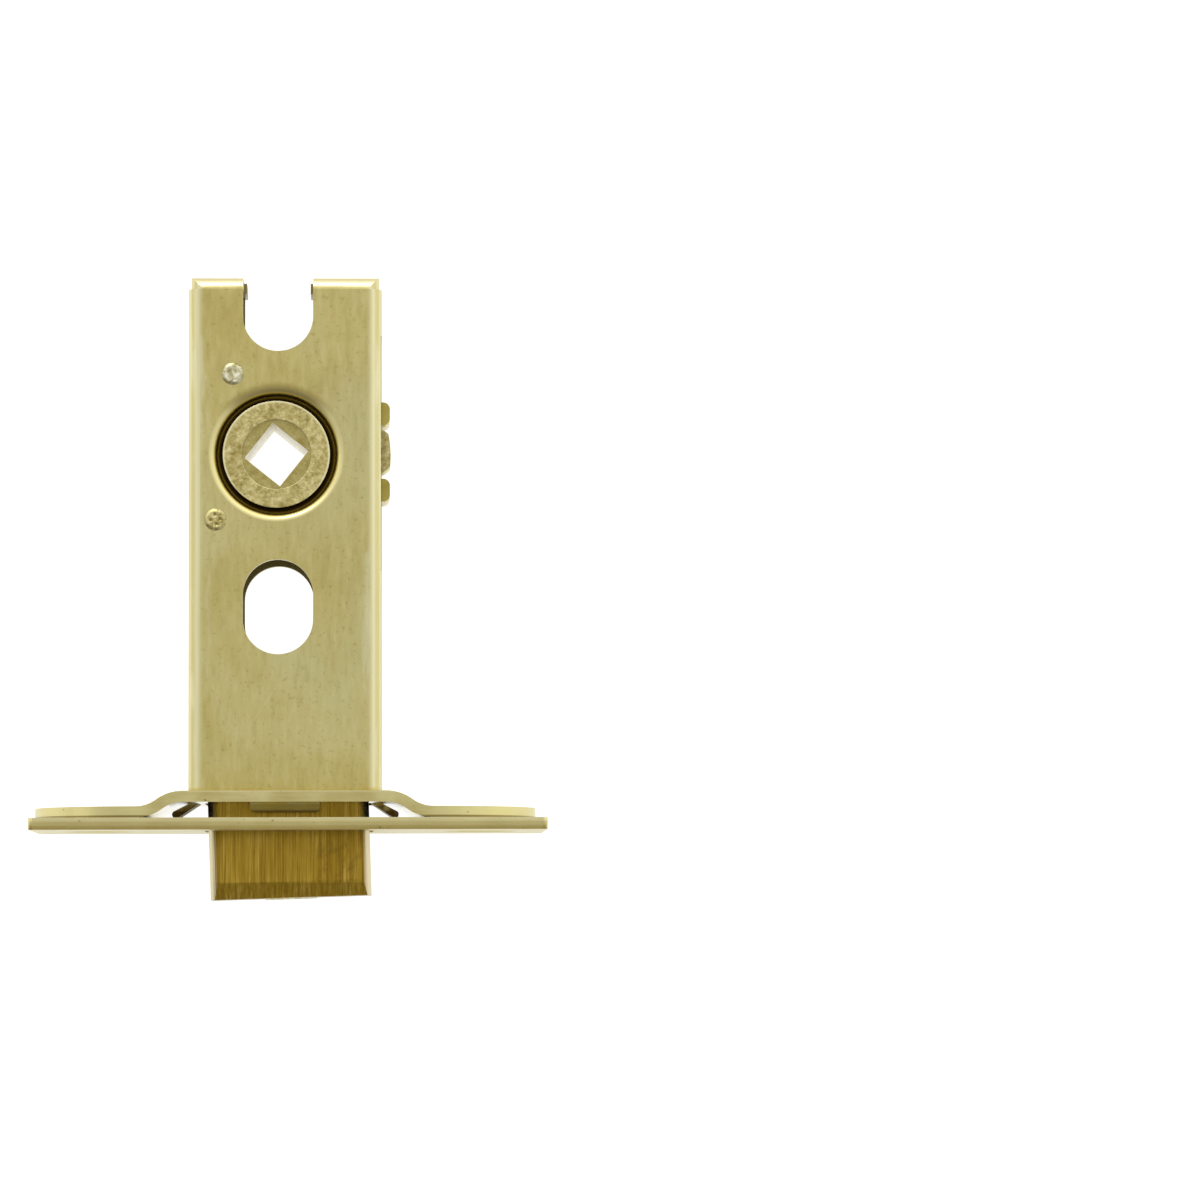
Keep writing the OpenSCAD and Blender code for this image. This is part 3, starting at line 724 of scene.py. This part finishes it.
hub = Finish("plated_casting")
mottle = hub.noise(1050.0, detail=5.0, rough=0.75)
hub.film = hub.ramp(mottle, (0.3, colour(132, 116, 58)), (0.42, colour(164, 149, 90)),
                    (0.54, colour(189, 176, 117)), (0.68, colour(216, 208, 160)))
grain = hub.noise(3600.0, detail=3.0, rough=0.6)
hub.lay(colour(226, 220, 178), hub.fade(grain, 0.55, 0.75, high=0.55))
hub.lay(colour(122, 104, 52), hub.fade(grain, 0.42, 0.3, high=0.5))

from_hub = hub.distance(HUB_AXIS)
# Painted shade in the recess round the square hole.
hub.lay(colour(150, 137, 76), hub.fade_mm(from_hub, RECESS_MM, RECESS_MM - 0.1, high=0.6))
# Painted highlight on the eased edges.
hub.lay(colour(222, 214, 168), hub.fade(hub.turned(), 0.0, 1.0, high=0.5))
# Painted highlight on the collar's rim, fading towards the front.
hub.lay(colour(232, 226, 184), hub.fade_mm(from_hub, *RIM_HIGHLIGHT_BAND),
        hub.fade_mm(hub.along("Y"), *RIM_HIGHLIGHT_FADES_OUT, HUB_AXIS[1], high=0.7),
        hub.fade_mm(from_hub, COLLAR_MM + 0.1, COLLAR_MM))
print("collar of", 2 * COLLAR_MM, "mm, recess of", 2 * RECESS_MM, "mm")

# %% [markdown]
# Ring and square hole
#
# Round the collar the hub steps down to a sunken journal. Between collar and lip the journal
# is painted as a narrow ring of shade, black at the collar and brown at the lip. The walls of the
# square hole catch the light of the table below, so they are pale.

# %% Ring and square hole
RING_RUN_MM = 0.72
RING_ENDS = (7.8, 7.4)
SUNK_BAND = (-0.4, -1.0)
SQUARE_BAND = (4.05, 3.95)

hub_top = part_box("hub")[1][2]
# Painted shade on the sunken journal, black at the collar and brown at the lip.
ring_shade = hub.ramp(hub.way(from_hub, COLLAR_MM, RING_RUN_MM),
                     (0.0, colour(24, 17, 2)), (0.45, colour(36, 21, 1)),
                     (0.72, colour(96, 76, 16)), (1.0, colour(146, 124, 50)))
hub.lay(ring_shade, hub.fade_mm(hub.along("Z"), *SUNK_BAND, hub_top),
        hub.fade_mm(from_hub, COLLAR_MM - 0.1, COLLAR_MM), hub.fade_mm(from_hub, *RING_ENDS))
hub.lay(colour(238, 234, 216), hub.fade_mm(from_hub, *SQUARE_BAND),
        hub.fade(hub.unsigned(hub.facing("Z")), 0.5, 0.2))
hub.coat(hub.fade(mottle, 0.3, 0.7, low=0.34, high=0.52))
hub.bump(0.08, (mottle, 0.25), (grain, 0.3))
hub.dress("hub")

# %% [markdown]
# Brass bolt
#
# The bolt is cut from drawn bar. Fine lines run along its length, which come from noise that is
# squeezed across the bar and drawn out along it, over a slower pattern of clouds. The brass has
# dulled to a deep brown gold.

# %% Drawn brass
bolt = Finish("drawn_brass")
lines = bolt.noise(4200.0, (1.0, 0.02, 1.0), detail=4.0, rough=0.7)
broad = bolt.noise(420.0, (1.0, 0.05, 1.0), detail=2.0)
clouds = bolt.noise(260.0, (1.0, 0.7, 1.0), detail=3.0, distortion=0.4)
bolt.film = bolt.ramp(clouds, (0.3, colour(162, 130, 42)), (0.55, colour(174, 143, 52)),
                      (0.75, colour(186, 156, 68)))
bolt.lay(colour(120, 93, 20), bolt.fade(lines, 0.34, 0.6, low=0.85, high=0.0))
bolt.lay(colour(218, 192, 122), bolt.fade(lines, 0.56, 0.74, high=0.7))
bolt.lay(colour(146, 116, 34), bolt.fade(broad, 0.55, 0.7, high=0.35))
print("nodes for the drawn bar:", len(bolt.nodes))

# %% [markdown]
# Stain and painted light on the bolt
#
# A faint stain dried on near +X. The bevel at the nose is darkened with painted shade, and the bar
# just where it enters the forend with a painted shadow. Each rounded long edge has a painted dark
# line beside it and a painted highlight on itself.

# %% Stain and painted light on the bolt
STAIN_PLACE = (0.0058, -0.0030)
STAIN_RADII = (3.6, 1.4)
STAIN_EDGES = ((0.9, 900.0), (0.2, 1100.0))
BEVEL_MM = 1.9
FOREND_SHADOW_STARTS = (-1.1, -0.1)
FOREND_SHADOW_ENDS = (1.2, 0.5)

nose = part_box("bolt_head")[0][1]
stain_reach = bolt.fade_mm(bolt.distance(STAIN_PLACE), *STAIN_RADII)
for stain_turn, stain_scale in STAIN_EDGES:
    stain_edge = bolt.noise(stain_scale, (1.0, 0.5, 1.0), detail=3.0, turn=stain_turn)
    bolt.lay(colour(108, 86, 28), stain_reach, bolt.fade(stain_edge, 0.52, 0.66, high=0.4))

from_face = bolt.along("Y")
# Painted shade on the bevel at the nose.
bolt.lay(colour(104, 82, 14), bolt.fade_mm(from_face, BEVEL_MM + 0.3, BEVEL_MM, nose), 0.45)
# Painted shadow where the bar enters the forend.
bolt.lay(colour(92, 66, 6), bolt.fade_mm(from_face, *FOREND_SHADOW_STARTS),
         bolt.fade_mm(from_face, *FOREND_SHADOW_ENDS), 0.25)
sideways = bolt.unsigned(bolt.facing("X"))
# Painted dark line beside each rounded long edge.
bolt.lay(colour(104, 80, 18), bolt.fade(sideways, 0.06, 0.2), bolt.fade(sideways, 0.5, 0.3), 0.5)
# Painted highlight on each rounded long edge.
bolt.lay(colour(216, 208, 176), bolt.fade(sideways, 0.3, 0.62, high=0.8))
bolt.coat(bolt.fade(lines, 0.3, 0.7, low=0.3, high=0.42))
bolt.bump(0.04, (lines, 0.2))
bolt.dress("bolt_head")

# %% [markdown]
# Pins and stud
#
# These are small and nearly bright. The ends of the two pins were spread by a punch: the upper one
# was struck flat and is pitted, the lower one carries the punch's four teeth, which are dark spots
# around its middle that also press into the bump.

# %% Pins and stud
TOOTH_REACH_MM = 0.55
TOOTH_MM = 0.3
TEETH = 4
TEETH_TURN = 8


def middle(name):
    """Middle of a solid's box."""
    low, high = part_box(name)
    return [(a + b) / 2 for a, b in zip(low, high)]


def peened(name, dark, middle_tone, pale, teeth_at=None):
    """Bright peened steel, with tooth marks around teeth_at if it is given."""
    steel = Finish(name)
    mottle = steel.noise(1500.0, detail=4.0, rough=0.6, distortion=0.6)
    steel.film = steel.ramp(mottle, (0.34, dark), (0.5, middle_tone), (0.66, pale))
    heights = [(mottle, 0.5)]
    for tooth_number in range(TEETH if teeth_at else 0):
        angle = math.radians(360 / TEETH * tooth_number + TEETH_TURN)
        tooth = (teeth_at[0] + TOOTH_REACH_MM * MM * math.cos(angle),
                 teeth_at[1] + TOOTH_REACH_MM * MM * math.sin(angle))
        mark = steel.fade_mm(steel.distance(tooth), TOOTH_MM, TOOTH_MM / 3)
        steel.lay(colour(112, 98, 50), mark, 0.75)
        heights.append((steel.maths("SUBTRACT", 1.0, mark), 0.6))
    # Painted shade on the curved rims and eased edges.
    steel.lay(colour(150, 138, 84), steel.fade(steel.turned(), 0.0, 1.0, high=0.35))
    steel.coat(steel.fade(mottle, 0.3, 0.7, low=0.26, high=0.46))
    steel.bump(0.12, *heights)
    return steel


peened("struck_flat", colour(140, 130, 84), colour(192, 187, 150),
       colour(232, 229, 208)).dress("upper_pin", "bolt_stud")
peened("struck_with_teeth", colour(138, 124, 68), colour(184, 172, 112), colour(222, 214, 164),
       middle("lower_pin")).dress("lower_pin")

# %% [markdown]
# Spring
#
# The leaf spring is bare grey steel with a smooth finish. Its slow pattern runs across its width,
# as on a spring that was cut from the side of a rolled sheet.

# %% Spring
spring = Finish("spring_steel")
drift = spring.noise(300.0, (1.0, 1.0, 0.2), detail=3.0)
spring.film = spring.ramp(drift, (0.3, colour(120, 120, 116)), (0.5, colour(150, 150, 146)),
                          (0.7, colour(180, 180, 176)))
spring.coat(spring.fade(drift, 0.3, 0.7, low=0.2, high=0.32))
spring.bump(0.04, (drift, 0.2))
spring.dress("detent_spring")

# %% [markdown]
